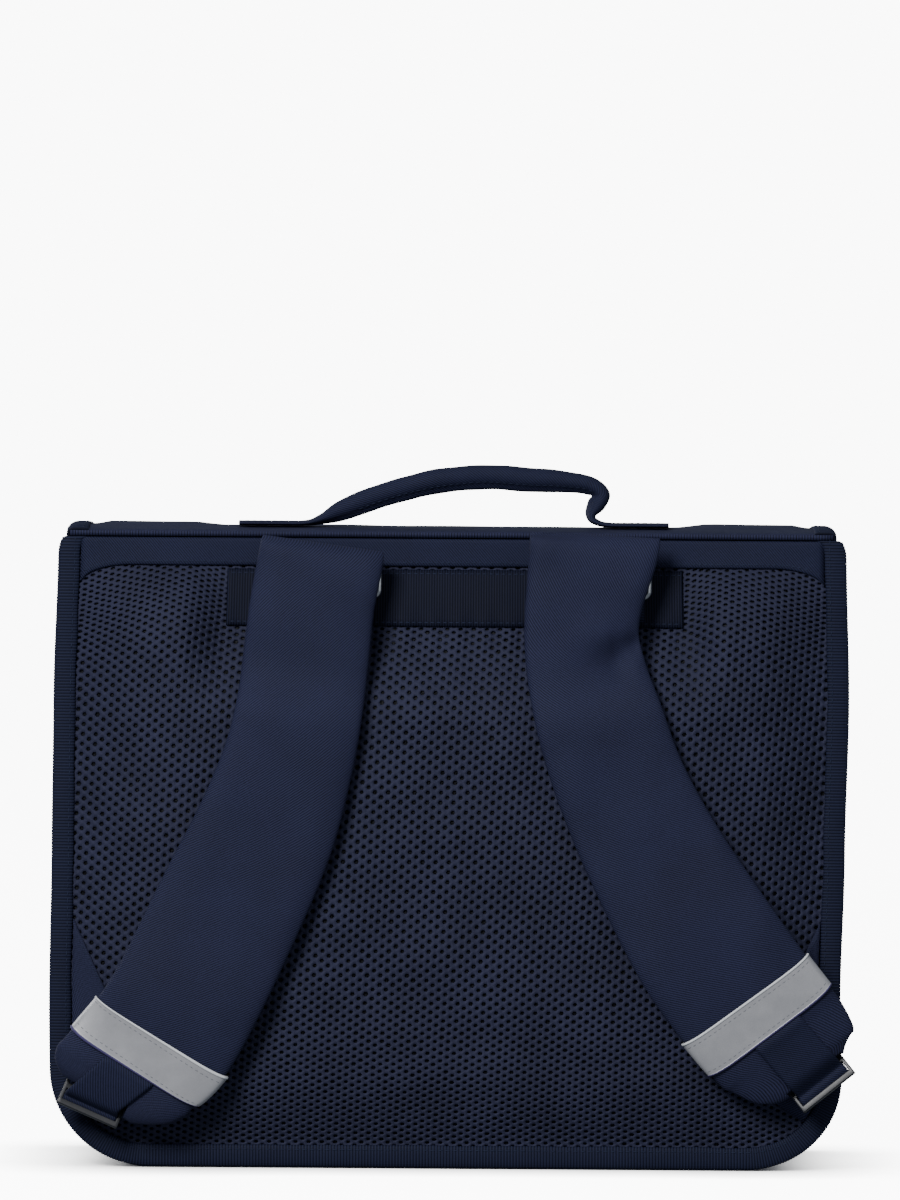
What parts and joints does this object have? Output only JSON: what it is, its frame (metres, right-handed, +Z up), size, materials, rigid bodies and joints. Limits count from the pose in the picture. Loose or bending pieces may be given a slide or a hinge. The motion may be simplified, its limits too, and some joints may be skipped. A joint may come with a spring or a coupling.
{
  "type": "school satchel",
  "caption": "Boxy soft school satchel with a padded mesh back, padded shoulder straps with reflective bands, a rolled top handle and a full front flap.",
  "frame": {"origin": "centre of the flat base, on the floor under the middle of the body", "axes": "+X to the right when looking at the padded back, +Y from the padded back to the flap's front, +Z up"},
  "size_m": [0.3848, 0.2036, 0.3363],
  "materials": {
    "mesh": "knitted spacer mesh with round holes",
    "twill": "matte twill weave",
    "grosgrain": "ribbed webbing",
    "reflective_tape": "satin retroreflective tape",
    "plastic": "moulded, satin",
    "metal": "polished"
  },
  "bodies": {
    "root": {"back_panel": "mesh", "top_band": "twill", "anchor_band": "grosgrain", "back_binding": "grosgrain", "gusset": "twill", "front_panel": "twill", "front_binding": "grosgrain", "flap": "twill", "flap_binding": "grosgrain", "handle": "twill", "clasp_left": "plastic", "clasp_right": "plastic", "shoulder_strap_left": "twill", "reflective_band_left": "reflective_tape", "strap_ring_left": "metal", "ring_hanger_left": "grosgrain", "strap_tab_left": "twill", "strap_loop_left": "twill", "strap_buckle_left": "plastic", "lower_webbing_left": "grosgrain", "anchor_tab_left": "twill", "shoulder_strap_right": "twill", "reflective_band_right": "reflective_tape", "strap_ring_right": "metal", "ring_hanger_right": "grosgrain", "strap_tab_right": "twill", "strap_loop_right": "twill", "strap_buckle_right": "plastic", "lower_webbing_right": "grosgrain", "anchor_tab_right": "twill"}
  },
  "joints": []
}
